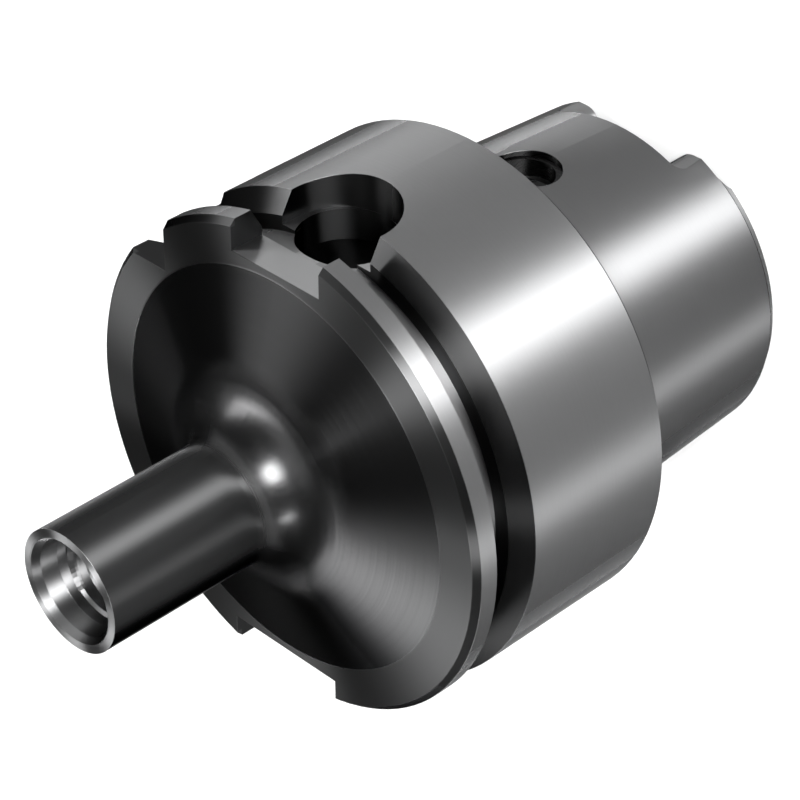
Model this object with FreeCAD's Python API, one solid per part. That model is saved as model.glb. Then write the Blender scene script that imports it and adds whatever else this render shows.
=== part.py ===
import FreeCAD, Part
import math
import os

# Tool holder adapter: hollow taper shank, grip flange and a slim nose with a screw coupling.
# Millimetres. +Z runs along the axis, from the shank towards the nose tip.
# The origin is the centre of the gauge face, the flange face that meets the machine spindle.
# +X points through the narrow grip slot, the one with the round pocket in its floor.
# Depths are measured from the rear end or behind the gauge face, as each line says.

# Taper shank
shank_length = 20.0
taper_gauge_diameter = 30.007
taper_gauge_depth = 4.0          # gauge plane behind the gauge face
taper_ratio = 9.98               # length for each millimetre of diameter
shank_end_chamfer_length = 0.9
shank_end_chamfer_depth = 0.5

# Hollow inside the shank
clamp_bore_diameter = 21.0
clamp_bore_chamfer = 0.5
shoulder_depth = 11.42           # edge of the clamping shoulder behind the gauge face
shoulder_angle = 30.0            # from the axis
undercut_diameter = 25.5
undercut_length = 4.4
seat_bore_diameter = 17.0
seat_bore_end = 0.9              # ahead of the gauge face
feed_thread_diameter = 10.9      # coolant feed thread, at its crests
feed_thread_length = 7.5
feed_thread_chamfer = 0.6
coolant_diameter = 3.0           # channel that joins the feed thread to the coupling
drill_point_angle = 118.0

# Drive slots in the shank end
drive_slot_width = 8.05
drive_slot_depth = 3.85          # from the rear end
drive_edge_radius = 1.6          # between the slot walls and the shelves
drive_shelf_height = 12.75       # flat shelves beside the slot, from the axis
drive_shelf_width = 13.0
drive_shelf_corner = 1.0         # at the closed end
drive_land_width = 17.4          # where the shank end is cut back beside the slot
drive_land_depth = 1.0
drive_land_corner = 0.9

# Access hole through the shank wall
access_diameter = 4.6
access_rim_diameter = 5.6
access_rim_depth = 0.7           # below the taper surface
access_depth = 5.9               # behind the gauge face

# Flange
flange_diameter = 40.0
flange_width = 20.0
flange_edge_chamfer = 0.5
face_relief_width = 1.0          # grinding relief beside the taper
face_relief_depth = 0.3

# Gripper groove round the flange
groove_centre = 16.0             # ahead of the gauge face
groove_floor_width = 2.0
groove_floor_diameter = 34.0
groove_mouth_width = 4.0
groove_angle = 60.0              # between the flanks

# Grip slots, pocket and notch in the flange
narrow_slot_width = 9.0
wide_slot_width = 11.0
slot_floor_height = 17.0         # from the axis
slot_length = 11.0               # from the front face
pocket_diameter = 7.7
pocket_depth = 2.6
notch_corner = 11.9              # both walls of the notch, from the axis
notch_length = 10.0              # from the front face

# Front cone and nose
face_ring_inner_diameter = 33.0
front_cone_angle = 15.0
nose_diameter = 9.7
nose_reach = 40.0                # gauge face to nose tip
nose_root_radius = 4.5

# Screw coupling in the nose
seat_mouth_diameter = 8.3
seat_end_diameter = 7.25
seat_length = 1.9
thread_relief_length = 0.8
thread_bore_diameter = 6.8       # at the thread's roots
thread_bore_length = 9.0

# Room that every cut keeps past the surface it opens
overrun = 2.0

flange_radius = flange_diameter / 2
hollow_middle = clamp_bore_diameter / 4   # where the cuts through the shank wall start
taper_face_radius = (taper_gauge_diameter + taper_gauge_depth / taper_ratio) / 2
pocket_centre = flange_width - slot_length + pocket_diameter / 2


def slope(angle):
    return math.tan(math.radians(angle))


def taper_radius(z):
    return taper_face_radius + z / taper_ratio / 2


def section_point(radius, z):
    return FreeCAD.Vector(radius, 0, z)


def section_lines(points):
    return [Part.makeLine(section_point(*a), section_point(*b)) for a, b in zip(points, points[1:])]


def shank_outside():
    end = -shank_length
    corner = end + shank_end_chamfer_length
    return [
        (clamp_bore_diameter / 2 + clamp_bore_chamfer, end),
        (taper_radius(corner) - shank_end_chamfer_depth, end),
        (taper_radius(corner), corner),
        (taper_radius(face_relief_depth), face_relief_depth),
        (taper_face_radius + face_relief_width, face_relief_depth),
        (taper_face_radius + face_relief_width, 0),
    ]


def groove_outline():
    floor_radius = groove_floor_diameter / 2
    flank_height = (groove_mouth_width - groove_floor_width) / 2 / slope(groove_angle / 2)
    rear_mouth = groove_centre - groove_mouth_width / 2
    front_mouth = groove_centre + groove_mouth_width / 2
    rear_wall = groove_centre - groove_floor_width / 2
    front_wall = groove_centre + groove_floor_width / 2
    return [
        (flange_radius, rear_mouth),
        (flange_radius - flank_height, rear_wall),
        (floor_radius, rear_wall),
        (floor_radius, front_wall),
        (flange_radius - flank_height, front_wall),
        (flange_radius, front_mouth),
    ]


def flange_outside():
    chamfer = flange_edge_chamfer
    return [
        (flange_radius - chamfer, 0),
        (flange_radius, chamfer),
        *groove_outline(),
        (flange_radius, flange_width - chamfer),
        (flange_radius - chamfer, flange_width),
        (face_ring_inner_diameter / 2, flange_width),
    ]


def nose_root():
    """Front cone's end, middle of the root arc and start of the straight nose."""
    cone_apex = flange_width + face_ring_inner_diameter / 2 * slope(front_cone_angle)
    tilt = math.radians(front_cone_angle)
    centre_r = nose_diameter / 2 + nose_root_radius
    centre_z = cone_apex - centre_r * slope(front_cone_angle) + nose_root_radius / math.cos(tilt)

    def on_arc(angle):
        return (centre_r - nose_root_radius * math.cos(angle), centre_z - nose_root_radius * math.sin(angle))

    cone_end = math.pi / 2 - tilt
    return on_arc(cone_end), on_arc(cone_end / 2), on_arc(0)


def nose_outside():
    return [(nose_diameter / 2, nose_reach), (seat_mouth_diameter / 2, nose_reach)]


def coupling_inside():
    seat_end = nose_reach - seat_length
    bore_radius = thread_bore_diameter / 2
    lead_in = seat_end_diameter / 2 - bore_radius
    bore_start = seat_end - thread_relief_length
    bore_end = bore_start - thread_bore_length
    coolant_radius = coolant_diameter / 2
    return [
        (seat_end_diameter / 2, seat_end),
        (seat_end_diameter / 2, bore_start),
        (bore_radius, bore_start - lead_in),
        (bore_radius, bore_end),
        (coolant_radius, bore_end - (bore_radius - coolant_radius) / slope(drill_point_angle / 2)),
    ]


def shank_inside():
    coolant_radius = coolant_diameter / 2
    thread_radius = feed_thread_diameter / 2
    thread_end = seat_bore_end + feed_thread_length
    clamp_radius = clamp_bore_diameter / 2
    undercut_radius = undercut_diameter / 2
    shoulder_top = -shoulder_depth + (undercut_radius - clamp_radius) / slope(shoulder_angle)
    undercut_end = shoulder_top + undercut_length
    return [
        (coolant_radius, thread_end + (thread_radius - coolant_radius) / slope(drill_point_angle / 2)),
        (thread_radius, thread_end),
        (thread_radius, seat_bore_end + feed_thread_chamfer),
        (thread_radius + feed_thread_chamfer, seat_bore_end),
        (seat_bore_diameter / 2, seat_bore_end),
        (seat_bore_diameter / 2, undercut_end),
        (undercut_radius, undercut_end),
        (undercut_radius, shoulder_top),
        (clamp_radius, -shoulder_depth),
        (clamp_radius, clamp_bore_chamfer - shank_length),
    ]


def turned_body():
    cone_end, arc_middle, nose_start = nose_root()
    outside = shank_outside() + flange_outside() + [cone_end]
    root_arc = Part.Arc(*(section_point(*p) for p in (cone_end, arc_middle, nose_start))).toShape()
    rest = [nose_start] + nose_outside() + coupling_inside() + shank_inside() + outside[:1]
    section = Part.Face(Part.Wire(section_lines(outside) + [root_arc] + section_lines(rest)))
    return section.revolve(FreeCAD.Vector(0, 0, 0), FreeCAD.Vector(0, 0, 1), 360)


def block(low, high):
    size = [b - a for a, b in zip(low, high)]
    return Part.makeBox(*size, FreeCAD.Vector(*low))


def radial_hole(diameter, z, inner, outer):
    """Round cut along +X at height z, between two distances from the axis."""
    start = FreeCAD.Vector(inner, 0, z)
    return Part.makeCylinder(diameter / 2, outer - inner, start, FreeCAD.Vector(1, 0, 0))


def grip_slot(width):
    """Slot along +X side, open at the front face, with a full round end."""
    round_end = flange_width - slot_length + width / 2
    outer = flange_radius + overrun
    run = block((slot_floor_height, -width / 2, round_end), (outer, width / 2, flange_width + overrun))
    return run.fuse(radial_hole(width, round_end, slot_floor_height, outer))


def grip_pocket():
    floor = slot_floor_height - pocket_depth
    return radial_hole(pocket_diameter, pocket_centre, floor, flange_radius)


def orientation_notch():
    corner = (notch_corner, notch_corner, flange_width - notch_length)
    return block(corner, (flange_radius, flange_radius, flange_width + overrun))


def rounded(shape, radius, is_chosen):
    """Fillet on the edges whose middle point passes the test."""
    return shape.makeFillet(radius, [e for e in shape.Edges if is_chosen(e.CenterOfMass)])


def rear_cut(floor_height, half_width, depth):
    """Block along +X side of the shank end, from a height above the axis outwards."""
    low = (floor_height, -half_width, -shank_length - overrun)
    return block(low, (taper_face_radius + overrun, half_width, depth - shank_length))


def with_round_corners(cut, half_width, depth, radius):
    """The same cut with round corners where its side walls meet its closed end."""
    def at_corner(p):
        return math.isclose(abs(p.y), half_width) and math.isclose(p.z, depth - shank_length)
    return rounded(cut, radius, at_corner)


def drive_slot():
    """Slot through the shank wall, rounded at its edges up to a flat shelf on each side."""
    wall = drive_slot_width / 2
    side = drive_shelf_width / 2
    slot = rear_cut(hollow_middle, wall, drive_slot_depth)
    shelves = rear_cut(drive_shelf_height, side, drive_slot_depth)

    def at_shelf_edge(p):
        return math.isclose(p.x, drive_shelf_height) and math.isclose(abs(p.y), wall)

    cut = rounded(slot.fuse(shelves).removeSplitter(), drive_edge_radius, at_shelf_edge)
    return with_round_corners(cut, side, drive_slot_depth, drive_shelf_corner)


def drive_land():
    """Cut that shortens the shank end beside the drive slot."""
    half_width = drive_land_width / 2
    cut = rear_cut(hollow_middle, half_width, drive_land_depth)
    return with_round_corners(cut, half_width, drive_land_depth, drive_land_corner)


def access_hole():
    outer = taper_face_radius + overrun
    rim_floor = taper_radius(-access_depth) - access_rim_depth
    inner = seat_bore_diameter / 2
    rim = radial_hole(access_rim_diameter, -access_depth, rim_floor, outer)
    return radial_hole(access_diameter, -access_depth, inner, outer).fuse(rim)


def turned_over(shape):
    """The same cut on the -X side."""
    return shape.rotated(FreeCAD.Vector(0, 0, 0), FreeCAD.Vector(0, 0, 1), 180)


def adapter_body():
    cuts = [
        grip_slot(narrow_slot_width),
        grip_pocket(),
        turned_over(grip_slot(wide_slot_width)),
        orientation_notch(),
        access_hole(),
    ]
    for cut in (drive_slot(), drive_land()):
        cuts += [cut, turned_over(cut)]
    return turned_body().cut(cuts)


def save(name, shape):
    solid = shape.Solids[0]
    print(name, "solids", len(shape.Solids), "valid", solid.isValid(), "volume", round(solid.Volume, 1))
    solid.exportStep("parts/" + name + ".step")


os.makedirs("parts", exist_ok=True)
save("adapter_body", adapter_body())
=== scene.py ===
import bpy
import math
from mathutils import Matrix, Vector


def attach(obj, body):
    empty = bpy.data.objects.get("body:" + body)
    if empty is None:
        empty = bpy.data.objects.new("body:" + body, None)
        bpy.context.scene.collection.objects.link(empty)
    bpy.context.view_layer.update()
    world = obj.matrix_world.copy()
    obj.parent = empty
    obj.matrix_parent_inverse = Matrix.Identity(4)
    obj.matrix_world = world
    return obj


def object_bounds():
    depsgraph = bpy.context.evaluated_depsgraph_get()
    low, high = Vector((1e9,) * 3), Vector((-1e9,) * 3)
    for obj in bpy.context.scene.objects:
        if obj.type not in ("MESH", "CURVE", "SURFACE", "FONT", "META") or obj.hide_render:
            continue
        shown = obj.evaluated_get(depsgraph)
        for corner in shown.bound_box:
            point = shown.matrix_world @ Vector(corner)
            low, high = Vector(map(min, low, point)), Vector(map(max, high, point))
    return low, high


# Tool holder adapter in turned and ground tool steel, standing on its shank end.
# The machined solid comes from the frame; the coupling's seat and the threads are added here.
# Metres. +Z is the axis, from the shank to the nose, and the origin is the gauge face centre.

millimetre = 0.001
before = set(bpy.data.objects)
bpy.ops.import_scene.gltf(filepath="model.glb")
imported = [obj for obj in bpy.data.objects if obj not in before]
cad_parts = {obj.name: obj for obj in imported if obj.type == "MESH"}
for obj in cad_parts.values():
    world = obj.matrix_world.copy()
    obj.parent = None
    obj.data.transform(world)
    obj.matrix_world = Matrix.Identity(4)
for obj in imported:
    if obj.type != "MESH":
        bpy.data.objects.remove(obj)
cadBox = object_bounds()
scene = bpy.context.scene
scene.view_settings.view_transform = "Standard"
floorHeight = cadBox[0].z

print("stage: camera")

cameraSetup = {
    "place": (0.12760, -0.12754, 0.13510),
    "right": (0.0, -0.70711, -0.70711),
    "up": (0.81650, 0.40825, -0.40825),
    "back": (0.57735, -0.57735, 0.57735),
    "lens": 131.27,
    "sensor": 36.0,
    "clipStart": 0.01,
    "clipEnd": 20.0,
}


def addCamera(setup):
    data = bpy.data.cameras.new("camera")
    data.lens = setup["lens"]
    data.sensor_width = setup["sensor"]
    data.clip_start = setup["clipStart"]
    data.clip_end = setup["clipEnd"]
    camera = bpy.data.objects.new("camera", data)
    turn = Matrix((setup["right"], setup["up"], setup["back"])).transposed()
    camera.matrix_world = Matrix.Translation(setup["place"]) @ turn.to_4x4()
    scene.collection.objects.link(camera)
    scene.camera = camera


addCamera(cameraSetup)

print("stage: node tools")


def connect(tree, socket, value):
    if isinstance(value, bpy.types.NodeSocket):
        tree.links.new(value, socket)
    else:
        socket.default_value = value


def addNode(tree, kind, settings=(), **inputs):
    made = tree.nodes.new(kind)
    for name, value in dict(settings).items():
        setattr(made, name, value)
    for name, value in inputs.items():
        connect(tree, made.inputs[name], value)
    return made


def calc(tree, operation, *values):
    made = addNode(tree, "ShaderNodeMath", {"operation": operation})
    for socket, value in zip(made.inputs, values):
        connect(tree, socket, value)
    return made.outputs[0]


def vectorCalc(tree, operation, first, second):
    made = addNode(tree, "ShaderNodeVectorMath", {"operation": operation})
    connect(tree, made.inputs[0], first)
    connect(tree, made.inputs["Scale" if operation == "SCALE" else 1], second)
    return made.outputs[0]


def mixNumber(tree, share, first, second):
    made = addNode(tree, "ShaderNodeMix", {"data_type": "FLOAT"})
    connect(tree, made.inputs[0], share)
    connect(tree, made.inputs[2], first)
    connect(tree, made.inputs[3], second)
    return made.outputs[0]


def softStep(tree, value, low, high, start=0.0, end=1.0):
    # runs smoothly from start to end between the two limits
    step = addNode(tree, "ShaderNodeMapRange", {"interpolation_type": "SMOOTHSTEP"}, Value=value)
    limits = {"From Min": low, "From Max": high, "To Min": start, "To Max": end}
    for label, limit in limits.items():
        step.inputs[label].default_value = limit
    return step.outputs["Result"]


def newGroup(name, inputs, outputs):
    group = bpy.data.node_groups.new(name, "ShaderNodeTree")
    for label, value in inputs.items():
        kind = "NodeSocketVector" if isinstance(value, tuple) else "NodeSocketFloat"
        socket = group.interface.new_socket(label, in_out="INPUT", socket_type=kind)
        socket.default_value = value
    for label in outputs:
        group.interface.new_socket(label, in_out="OUTPUT", socket_type="NodeSocketFloat")
    return group, group.nodes.new("NodeGroupInput"), group.nodes.new("NodeGroupOutput")


def useGroup(tree, group, **inputs):
    made = tree.nodes.new("ShaderNodeGroup")
    made.node_tree = group
    for name, value in inputs.items():
        connect(tree, made.inputs[name], value)
    return made


def makeTurningPlace():
    # distance from the axis, height along it and X, in millimetres
    group, given, result = newGroup(
        "turningPlace", {"Point": (0.0, 0.0, 0.0)}, ["Radius", "Height", "Across"])
    scaled = vectorCalc(group, "SCALE", given.outputs["Point"], 1.0 / millimetre)
    across, side, height = addNode(group, "ShaderNodeSeparateXYZ", Vector=scaled).outputs
    squares = calc(group, "ADD", calc(group, "MULTIPLY", across, across),
                   calc(group, "MULTIPLY", side, side))
    connect(group, result.inputs["Radius"], calc(group, "SQRT", squares))
    connect(group, result.inputs["Height"], height)
    connect(group, result.inputs["Across"], across)
    return group


def makeBetween():
    # 1 where the value lies between the two limits, 0 outside
    group, given, result = newGroup("between", {"Value": 0.0, "Low": 0.0, "High": 1.0}, ["Mask"])
    above = calc(group, "GREATER_THAN", given.outputs["Value"], given.outputs["Low"])
    below = calc(group, "LESS_THAN", given.outputs["Value"], given.outputs["High"])
    connect(group, result.inputs["Mask"], calc(group, "MULTIPLY", above, below))
    return group


turningNoise = {"radiusShare": 1.31, "detail": 3.0, "roughness": 0.65}


def makeTurningMarks(values):
    # fine rings that the tool leaves round the axis
    group, given, result = newGroup(
        "turningMarks", {"Radius": 0.0, "Height": 0.0, "Rings": 6.0}, ["Marks"])
    along = calc(group, "MULTIPLY_ADD",
                 given.outputs["Radius"], values["radiusShare"], given.outputs["Height"])
    noise = addNode(
        group, "ShaderNodeTexNoise", {"noise_dimensions": "1D"}, W=along,
        Scale=given.outputs["Rings"], Detail=values["detail"], Roughness=values["roughness"])
    connect(group, result.inputs["Marks"], noise.outputs[0])
    return group


turningPlace = makeTurningPlace()
between = makeBetween()
turningMarks = makeTurningMarks(turningNoise)

print("stage: steel")

# finish of each zone: brightness of the metal, roughness; several of these brightnesses are painted
# shade or painted light rather than a finish
# a later zone lies over an earlier one, and the flange rim and gauge face are what is left
steelFinishesAndPaintedLight = {
    "rim": (0.22, 0.47),
    "taper": (0.185, 0.48),
    "cutWallPaintedShade": (0.035, 0.28),      # walls of slots, pocket and notch, painted dark for the shade in these recesses
    # groove flanks: painted shade, darker than the rim so that they show no highlight
    "grooveFlankPaintedShade": (0.065, 0.24),
    # groove floor: painted light, brighter as if lit from above through the slot
    "grooveFloorPaintedLight": (0.20, 0.34),
    # slot floor: painted light, brighter than the rim as if strongly lit
    "slotFloorPaintedLight": (0.26, 0.34),
    "chamferPaintedShade": (0.06, 0.28),       # front edge of the rim, painted dark for shade
    "face": (0.08, 0.36),          # ring round the front cone
    "cone": (0.047, 0.22),         # front cone and nose root, much darker than the rim
    "rearEdgePaintedShade": (0.02, 0.75),      # painted shade: rear edges of the taper and of the rim, nearly black
    "nose": (0.050, 0.44),
    "tip": (0.25, 0.42),           # end face of the nose
    "coupling": (0.24, 0.52),
    "bore": (0.22, 0.34),          # inside the shank
    # walls of the access hole: painted shade, dark inside the hole
    "accessWallPaintedShade": (0.04, 0.28),
}

steelValues = {
    "tint": (0.985, 0.99, 1.0),    # how much of each colour the steel throws back
    "edgeTint": (0.06, 0.06, 0.06, 1.0),
    "anisotropy": 1.0,
    "marksTurn": 0.25,             # a quarter turn lays the marks round the axis
    "noseLay": 0.40,               # rise of the polishing marks round the nose
    "rootPolish": 4.0,             # how far the marks on the nose root run in all directions
    "ringsPerMillimetre": 5.0,
    "ringContrast": 0.04,
    # where the zones meet, in millimetres
    "rimRadius": 19.96,
    "rimEdges": (0.45, 19.97),
    "cutsInside": 9.0,
    "grooveEdges": (13.95, 18.05),
    "flankRadius": 17.9,
    "grooveFloorRadius": (16.95, 17.04),
    "slotPlane": (16.97, 17.03),
    "chamferStart": 19.55,
    "edgesInside": 19.4,
    "rimRearEdge": (0.0, 0.45),
    "shankEdgeEnd": -19.08,
    "frontFace": (19.95, 20.03),
    "rootStart": (21.6, 22.6),
    "rootEnd": (24.8, 26.5),
    "noseStart": (25.0, 28.0),
    "noseTip": 39.97,
    "couplingRadius": 4.3,
    "shankInsideEnd": 0.95,
    "taperFaceRadius": 15.15,      # a cone just inside the outer taper, at the gauge face
    "taperRatio": 19.96,           # height over radius of that cone
    "accessEdges": (-8.8, -3.0),
    "accessInside": 12.8,
    # how far a surface looks along an axis
    "flankRise": (0.80, 0.93),
    "flatEnough": 0.99,
}


def inside(tree, value, limits):
    low, high = limits
    return useGroup(tree, between, Value=value, Low=low, High=high).outputs[0]


def both(tree, first, second):
    return calc(tree, "MULTIPLY", first, second)


def over(tree, value, limit):
    return calc(tree, "GREATER_THAN", value, limit)


def under(tree, value, limit):
    return calc(tree, "LESS_THAN", value, limit)


def flangeZones(tree, radius, height, across, normal, values):
    cuts = both(tree, inside(tree, height, values["rimEdges"]),
                inside(tree, radius, (values["cutsInside"], values["rimRadius"])))
    inGroove = inside(tree, height, values["grooveEdges"])
    flank = both(tree, inGroove, inside(tree, radius, (values["flankRadius"], values["rimRadius"])))
    slanted = inside(tree, calc(tree, "ABSOLUTE", normal["Z"]), values["flankRise"])
    flat = over(tree, calc(tree, "ABSOLUTE", normal["X"]), values["flatEnough"])
    slotFloorPaintedLight = both(tree, both(tree, cuts, flat), inside(tree, across, values["slotPlane"]))
    frontEdge = inside(tree, height, (values["chamferStart"], values["frontFace"][0]))
    nearRim = over(tree, radius, values["edgesInside"])
    rimRearEdge = both(tree, inside(tree, height, values["rimRearEdge"]), nearRim)
    shankEdge = under(tree, height, values["shankEdgeEnd"])
    return {
        "cutWallPaintedShade": cuts,
        "grooveFlankPaintedShade": both(tree, flank, slanted),
        "grooveFloorPaintedLight": both(tree, inGroove, inside(tree, radius, values["grooveFloorRadius"])),
        "slotFloorPaintedLight": slotFloorPaintedLight,
        "chamferPaintedShade": both(tree, frontEdge, nearRim),
        "face": inside(tree, height, values["frontFace"]),
        "rearEdgePaintedShade": calc(tree, "MAXIMUM", rimRearEdge, shankEdge),
    }


def noseZones(tree, radius, height, values):
    ahead = inside(tree, height, (values["frontFace"][1], values["noseTip"]))
    onNose = softStep(tree, height, *values["noseStart"])
    aheadOfShank = over(tree, height, values["shankInsideEnd"])
    return {
        "cone": ahead,
        "nose": both(tree, ahead, onNose),
        "tip": over(tree, height, values["noseTip"]),
        "coupling": both(tree, aheadOfShank, under(tree, radius, values["couplingRadius"])),
    }


def shankZones(tree, radius, height, values):
    taper = calc(tree, "MULTIPLY_ADD",
                 height, 1.0 / values["taperRatio"], values["taperFaceRadius"])
    hollow = both(tree, under(tree, height, values["shankInsideEnd"]),
                  calc(tree, "LESS_THAN", radius, taper))
    access = both(tree, inside(tree, height, values["accessEdges"]),
                  over(tree, radius, values["accessInside"]))
    return {
        "taper": under(tree, height, 0.0),
        "bore": hollow,
        "accessWallPaintedShade": both(tree, hollow, access),
    }


def makeTangent(tree, point, values):
    # the marks run round the axis, climb a little on the nose and cross each other on its root
    height = addNode(tree, "ShaderNodeSeparateXYZ", Vector=point).outputs["Z"]

    def climb(name):
        low, high = values[name]
        return softStep(tree, height, low * millimetre, high * millimetre)

    circling = addNode(tree, "ShaderNodeTangent", {"direction_type": "RADIAL", "axis": "Z"})
    lean = calc(tree, "MULTIPLY", climb("noseStart"), values["noseLay"])
    leant = vectorCalc(tree, "ADD", circling.outputs[0],
                       addNode(tree, "ShaderNodeCombineXYZ", Z=lean).outputs[0])
    onRoot = both(tree, climb("rootStart"), calc(tree, "SUBTRACT", 1.0, climb("rootEnd")))
    grains = addNode(tree, "ShaderNodeTexWhiteNoise", Vector=point).outputs["Color"]
    centred = vectorCalc(tree, "ADD", grains, (-0.5, -0.5, -0.5))
    crossed = vectorCalc(tree, "SCALE", centred,
                         calc(tree, "MULTIPLY", onRoot, values["rootPolish"]))
    return vectorCalc(tree, "ADD", leant, crossed)


def makeSteel(finishesAndPaintedLight, values):
    material = bpy.data.materials.new("groundToolSteel")
    material.use_nodes = True
    tree = material.node_tree
    shader = tree.nodes["Principled BSDF"]
    coordinates = addNode(tree, "ShaderNodeTexCoord")
    point = coordinates.outputs["Object"]
    normal = addNode(tree, "ShaderNodeSeparateXYZ", Vector=coordinates.outputs["Normal"]).outputs
    place = useGroup(tree, turningPlace, Point=point)
    radius, height = place.outputs["Radius"], place.outputs["Height"]
    across = calc(tree, "ABSOLUTE", place.outputs["Across"])

    zones = flangeZones(tree, radius, height, across, normal, values)
    zones.update(noseZones(tree, radius, height, values))
    zones.update(shankZones(tree, radius, height, values))
    brightness, roughness = finishesAndPaintedLight["rim"]
    for name, finishAndPaintedLight in finishesAndPaintedLight.items():
        if name in zones:
            brightness = mixNumber(tree, zones[name], brightness, finishAndPaintedLight[0])
            roughness = mixNumber(tree, zones[name], roughness, finishAndPaintedLight[1])

    marks = useGroup(tree, turningMarks, Radius=radius, Height=height,
                     Rings=values["ringsPerMillimetre"]).outputs[0]
    change = calc(tree, "MULTIPLY", calc(tree, "SUBTRACT", marks, 0.5), values["ringContrast"] * 2)
    change = both(tree, change, calc(tree, "SUBTRACT", 1.0, zones["cutWallPaintedShade"]))
    connect(tree, shader.inputs["Roughness"], calc(tree, "ADD", roughness, change))
    connect(tree, shader.inputs["Base Color"],
            vectorCalc(tree, "SCALE", values["tint"], brightness))
    shader.inputs["Metallic"].default_value = 1.0
    shader.inputs["Specular Tint"].default_value = values["edgeTint"]
    shader.inputs["Anisotropic"].default_value = values["anisotropy"]
    shader.inputs["Anisotropic Rotation"].default_value = values["marksTurn"]
    tree.links.new(makeTangent(tree, point, values), shader.inputs["Tangent"])
    return material


steel = makeSteel(steelFinishesAndPaintedLight, steelValues)
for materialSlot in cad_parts["adapter_body"].material_slots:
    materialSlot.material = steel


def addPiece(name, mesh):
    mesh.materials.append(steel)
    piece = bpy.data.objects.new(name, mesh)
    scene.collection.objects.link(piece)
    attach(piece, "root")


def scaledPoint(*parts):
    return tuple(part * millimetre for part in parts)


print("stage: coupling seat")

# the chamfered mouth is a thin lining whose outer side lies inside the steel, in millimetres
couplingSeat = {
    "inner": [(4.14, 39.99), (3.85, 39.40), (3.63, 38.12)],
    "outer": [(3.75, 38.12), (4.30, 39.90), (4.30, 39.99)],
    "sides": 160,
    "sharpFrom": 12,               # degrees
}


def addSeat(name, values):
    profile = values["inner"] + values["outer"]
    sides, corners = values["sides"], len(profile)
    vertices, faces = [], []
    for step in range(sides):
        angle = 2 * math.pi * step / sides
        for radius, height in profile:
            vertices.append(scaledPoint(radius * math.cos(angle), radius * math.sin(angle), height))
        first, second = step * corners, (step + 1) % sides * corners
        for i in range(corners):
            j = (i + 1) % corners
            faces.append((first + i, second + i, second + j, first + j))
    mesh = bpy.data.meshes.new(name)
    mesh.from_pydata(vertices, [], faces)
    mesh.shade_smooth()
    mesh.set_sharp_from_angle(angle=math.radians(values["sharpFrom"]))
    addPiece(name, mesh)


addSeat("coupling_seat", couplingSeat)

print("stage: threads")

# millimetres; the shares are of the pitch, and the steps are those in one turn
couplingThread = {
    "rootRadius": 3.40, "crestRadius": 2.95, "pitch": 1.25, "start": 29.0, "end": 37.0,
    "rootShare": 0.80, "crestShare": 0.18, "steps": 64, "rootDepth": 0.06, "runout": 0.5,
}
feedThread = {
    "rootRadius": 5.45, "crestRadius": 5.10, "pitch": 1.0, "start": 1.9, "end": 7.9,
    "rootShare": 0.82, "crestShare": 0.18, "steps": 64, "rootDepth": 0.06, "runout": 0.5,
}


def addThread(name, values):
    # a ridge that winds up the bore wall and runs out at both ends
    pitch, steps = values["pitch"], values["steps"]
    count = int((values["end"] - values["start"]) / pitch * steps)
    buried = values["rootRadius"] + values["rootDepth"]
    rise = values["rootRadius"] - values["crestRadius"]
    rootHalf = pitch * values["rootShare"] / 2
    crestHalf = pitch * values["crestShare"] / 2
    vertices, faces = [], []
    for step in range(count + 1):
        angle = 2 * math.pi * step / steps
        middle = values["start"] + pitch * step / steps
        fade = min(1.0, min(step, count - step) / (steps * values["runout"]))
        crest = values["rootRadius"] - rise * fade
        corners = [(buried, -rootHalf), (crest, -crestHalf), (crest, crestHalf), (buried, rootHalf)]
        for radius, offset in corners:
            vertices.append(scaledPoint(
                radius * math.cos(angle), radius * math.sin(angle), middle + offset))
        if step:
            a, b = (step - 1) * 4, step * 4
            for i in range(4):
                j = (i + 1) % 4
                faces.append((a + i, a + j, b + j, b + i))
    last = count * 4
    faces += [(0, 1, 2, 3), (last + 3, last + 2, last + 1, last)]
    mesh = bpy.data.meshes.new(name)
    mesh.from_pydata(vertices, [], faces)
    addPiece(name, mesh)


addThread("coupling_thread", couplingThread)
addThread("feed_thread", feedThread)

print("stage: floor")

floorValues = {
    "size": 12.0, "colour": (0.62, 0.62, 0.62, 1.0), "roughness": 0.9, "specular": 0.1,
    "glow": 0.2,                   # lifts the floor to white for the camera and in the steel
}


def addFloor(values):
    half = values["size"] / 2
    corners = [(-half, -half, 0), (half, -half, 0), (half, half, 0), (-half, half, 0)]
    mesh = bpy.data.meshes.new("floor")
    mesh.from_pydata(corners, [], [(0, 1, 2, 3)])
    floor = bpy.data.objects.new("floor", mesh)
    floor.location.z = floorHeight
    scene.collection.objects.link(floor)
    material = bpy.data.materials.new("paleFloor")
    material.use_nodes = True
    tree = material.node_tree
    shader = tree.nodes["Principled BSDF"]
    shader.inputs["Base Color"].default_value = values["colour"]
    shader.inputs["Roughness"].default_value = values["roughness"]
    shader.inputs["Specular IOR Level"].default_value = values["specular"]
    rays = addNode(tree, "ShaderNodeLightPath").outputs
    seen = calc(tree, "MAXIMUM", rays["Is Camera Ray"], rays["Is Glossy Ray"])
    seen = calc(tree, "MAXIMUM", seen, rays["Is Transmission Ray"])
    shader.inputs["Emission Color"].default_value = (1.0, 1.0, 1.0, 1.0)
    connect(tree, shader.inputs["Emission Strength"], calc(tree, "MULTIPLY", seen, values["glow"]))
    mesh.materials.append(material)


addFloor(floorValues)

print("stage: light")

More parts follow.
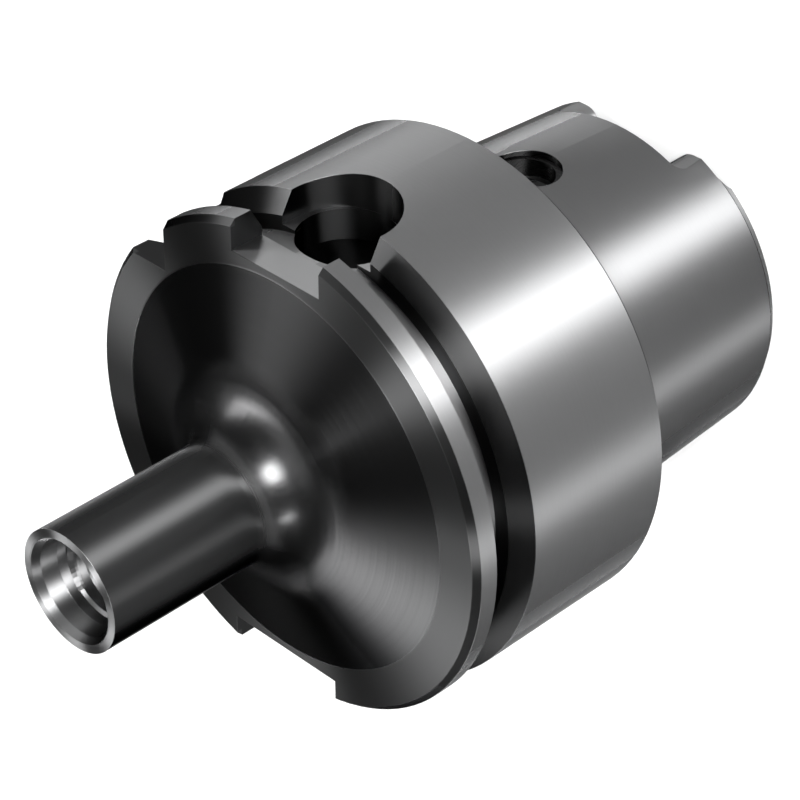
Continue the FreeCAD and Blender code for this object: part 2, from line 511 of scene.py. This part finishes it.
# place and size in degrees as seen from the part; a strength of 1 is white
lamps = {
    "frontBox": {"azimuth": -43, "elevation": 30, "wide": 35, "high": 52, "strength": 34.0},
    "topFill": {"azimuth": -30, "elevation": 78, "wide": 64, "high": 50, "strength": 1.1},
    "leftBox": {"azimuth": -114, "elevation": 20, "wide": 22, "high": 40, "strength": 10.5},
    "rightBox": {"azimuth": 69, "elevation": 46, "wide": 30, "high": 66, "strength": 10.5},
    "rearBox": {"azimuth": 160, "elevation": 38, "wide": 32, "high": 36, "strength": 8.5},
}
# a softbox is brightest in the middle: the core and the edge are shares of its width
studio = {
    "aim": (0.0, 0.0, 0.01), "distance": 1.2, "core": 0.08, "edge": 0.5,
    "world": (0.12, 0.12, 0.12, 1.0),
}


def addLamp(name, values, setup):
    azimuth, elevation = math.radians(values["azimuth"]), math.radians(values["elevation"])
    away = Vector((
        math.cos(elevation) * math.cos(azimuth),
        math.cos(elevation) * math.sin(azimuth),
        math.sin(elevation)))
    data = bpy.data.lights.new(name, "AREA")
    data.shape = "ELLIPSE"
    data.size = 2 * setup["distance"] * math.tan(math.radians(values["wide"] / 2))
    data.size_y = 2 * setup["distance"] * math.tan(math.radians(values["high"] / 2))
    data.energy = values["strength"] * math.pi * data.size * data.size_y
    data.use_nodes = True
    tree = data.node_tree
    spot = addNode(tree, "ShaderNodeVectorMath", {"operation": "DISTANCE"})
    tree.links.new(addNode(tree, "ShaderNodeNewGeometry").outputs["Parametric"], spot.inputs[0])
    spot.inputs[1].default_value = (0.5, 0.5, 0.0)
    fall = softStep(tree, spot.outputs["Value"], setup["core"], setup["edge"], 1.0, 0.0)
    tree.links.new(fall, tree.nodes["Emission"].inputs["Strength"])
    lamp = bpy.data.objects.new(name, data)
    lamp.location = Vector(setup["aim"]) + away * setup["distance"]
    lamp.rotation_euler = away.to_track_quat("Z", "Y").to_euler()
    lamp.visible_camera = False
    scene.collection.objects.link(lamp)


for lampName, lampValues in lamps.items():
    addLamp(lampName, lampValues, studio)

world = bpy.data.worlds.new("studio")
scene.world = world
world.use_nodes = True
world.node_tree.nodes["Background"].inputs["Color"].default_value = studio["world"]
world.node_tree.nodes["Background"].inputs["Strength"].default_value = 1.0
